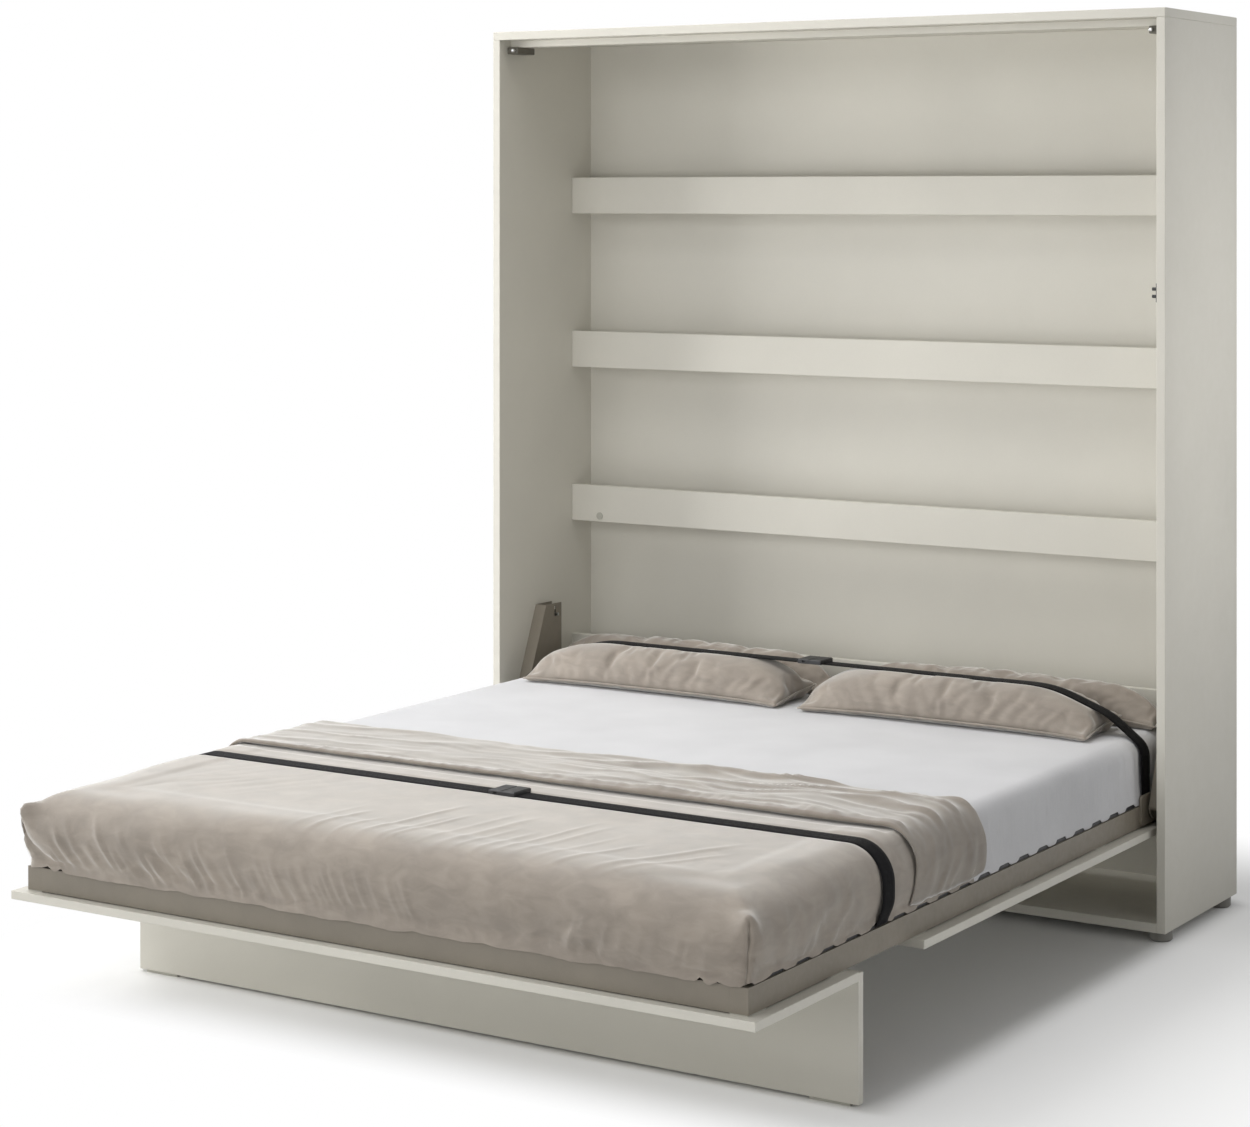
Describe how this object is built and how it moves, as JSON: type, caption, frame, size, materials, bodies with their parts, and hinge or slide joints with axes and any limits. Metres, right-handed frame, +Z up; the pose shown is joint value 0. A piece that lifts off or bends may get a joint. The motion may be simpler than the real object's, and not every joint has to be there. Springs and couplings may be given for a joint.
{
  "type": "wall bed",
  "caption": "Vertical fold-down wall bed shown open: shallow board cabinet, slatted steel frame with made-up mattress, fold-out leg board and gas-spring lift.",
  "frame": {"origin": "on the floor, under the middle of the opened bed and cabinet together", "axes": "+X to the right seen from the foot end, +Y from the foot end to the wall, +Z up"},
  "size_m": [1.93, 2.227, 2.178],
  "materials": {
    "carcass_board": "satin melamine-faced board",
    "front_board": "satin lacquered front board",
    "frame_paint": "taupe powder coat",
    "bright_steel": "zinc-plated steel",
    "dark_steel": "black painted steel",
    "rod_chrome": "polished",
    "plastic_dark": "moulded",
    "plastic_grey": "moulded",
    "plastic_taupe": "moulded",
    "plastic_pale": "moulded",
    "beech": "clear-coated laminated beech",
    "mattress_fabric": "smooth white cotton",
    "bedding_fabric": "soft velvet weave",
    "webbing": "woven polyester"
  },
  "bodies": {
    "cabinet": {"left_side_panel": "carcass_board", "right_side_panel": "carcass_board", "top_panel": "carcass_board", "bottom_panel": "carcass_board", "back_panel": "carcass_board", "upper_rail": "carcass_board", "middle_rail": "carcass_board", "lower_rail": "carcass_board", "headboard_rail": "carcass_board", "top_stop_batten": "carcass_board", "rail_dowels": "beech", "cam_cover_cap": "plastic_pale", "glide_feet": "plastic_grey", "left_pivot_bracket": "frame_paint", "right_pivot_bracket": "frame_paint", "pivot_pins": "bright_steel", "gas_spring_anchor_pins": "bright_steel", "bracket_screws": "bright_steel", "left_push_catch": "plastic_dark", "right_push_catch": "plastic_dark", "side_guide": "plastic_dark"},
    "bed": {"left_side_rail": "frame_paint", "right_side_rail": "frame_paint", "foot_end_rail": "frame_paint", "head_end_rail": "frame_paint", "centre_beam": "frame_paint", "leg_cross_rail": "frame_paint", "tube_end_caps": "plastic_taupe", "left_pivot_arm": "frame_paint", "right_pivot_arm": "frame_paint", "pivot_bushes": "plastic_grey", "left_slats": "beech", "right_slats": "beech", "slat_holders": "plastic_dark", "foot_front_panel": "front_board", "lower_front_panel": "front_board", "front_spacers": "plastic_pale", "leg_hinge_brackets": "frame_paint", "mattress": "mattress_fabric", "duvet": "bedding_fabric", "left_front_pillow": "bedding_fabric", "right_front_pillow": "bedding_fabric", "left_back_pillow": "bedding_fabric", "right_back_pillow": "bedding_fabric", "head_strap": "webbing", "foot_strap": "webbing", "head_buckle_socket": "plastic_dark", "head_buckle_tongue": "plastic_dark", "foot_buckle_socket": "plastic_dark", "foot_buckle_tongue": "plastic_dark"},
    "leg": {"leg_panel": "front_board", "leg_hinge_clevises": "bright_steel", "leg_hinge_pins": "bright_steel", "leg_glides": "plastic_pale"},
    "left_gas_tube": {"left_gas_spring_tube": "dark_steel"},
    "right_gas_tube": {"right_gas_spring_tube": "dark_steel"},
    "left_gas_rod": {"left_gas_spring_rod": "rod_chrome"},
    "right_gas_rod": {"right_gas_spring_rod": "rod_chrome"},
    "left_plunger": {"left_catch_plunger": "rod_chrome"},
    "right_plunger": {"right_catch_plunger": "rod_chrome"}
  },
  "joints": [
    {"name": "bed_fold", "type": "hinge", "parent": "cabinet", "child": "bed", "pos_m": [0, 0.7305, 0.308], "axis": [-1, 0, 0], "range_deg": [0, 90]},
    {"name": "leg_fold", "type": "hinge", "parent": "bed", "child": "leg", "pos_m": [0, -0.7175, 0.252], "axis": [1, 0, 0], "range_deg": [0, 90]},
    {"name": "left_gas_swing", "type": "hinge", "parent": "cabinet", "child": "left_gas_tube", "pos_m": [-0.9255, 0.8855, 0.597], "axis": [-1, 0, 0], "range_deg": [0, 8.29]},
    {"name": "left_gas_stroke", "type": "slide", "parent": "left_gas_tube", "child": "left_gas_rod", "axis": [0, -0.2512, -0.9679], "range_m": [0, 0.10196]},
    {"name": "right_gas_swing", "type": "hinge", "parent": "cabinet", "child": "right_gas_tube", "pos_m": [0.9255, 0.8855, 0.597], "axis": [-1, 0, 0], "range_deg": [0, 8.29]},
    {"name": "right_gas_stroke", "type": "slide", "parent": "right_gas_tube", "child": "right_gas_rod", "axis": [0, -0.2512, -0.9679], "range_m": [0, 0.10196]},
    {"name": "left_catch_press", "type": "slide", "parent": "cabinet", "child": "left_plunger", "axis": [0, 1, 0], "range_m": [0, 0.012], "stiffness_N_per_m": 300},
    {"name": "right_catch_press", "type": "slide", "parent": "cabinet", "child": "right_plunger", "axis": [0, 1, 0], "range_m": [0, 0.012], "stiffness_N_per_m": 300}
  ],
  "couplings": [
    {"joint": "left_gas_swing", "follows": "bed_fold", "ratio": 0.09152},
    {"joint": "left_gas_stroke", "follows": "bed_fold", "m_per_rad": 0.064718},
    {"joint": "right_gas_swing", "follows": "bed_fold", "ratio": 0.09152},
    {"joint": "right_gas_stroke", "follows": "bed_fold", "m_per_rad": 0.064718}
  ]
}
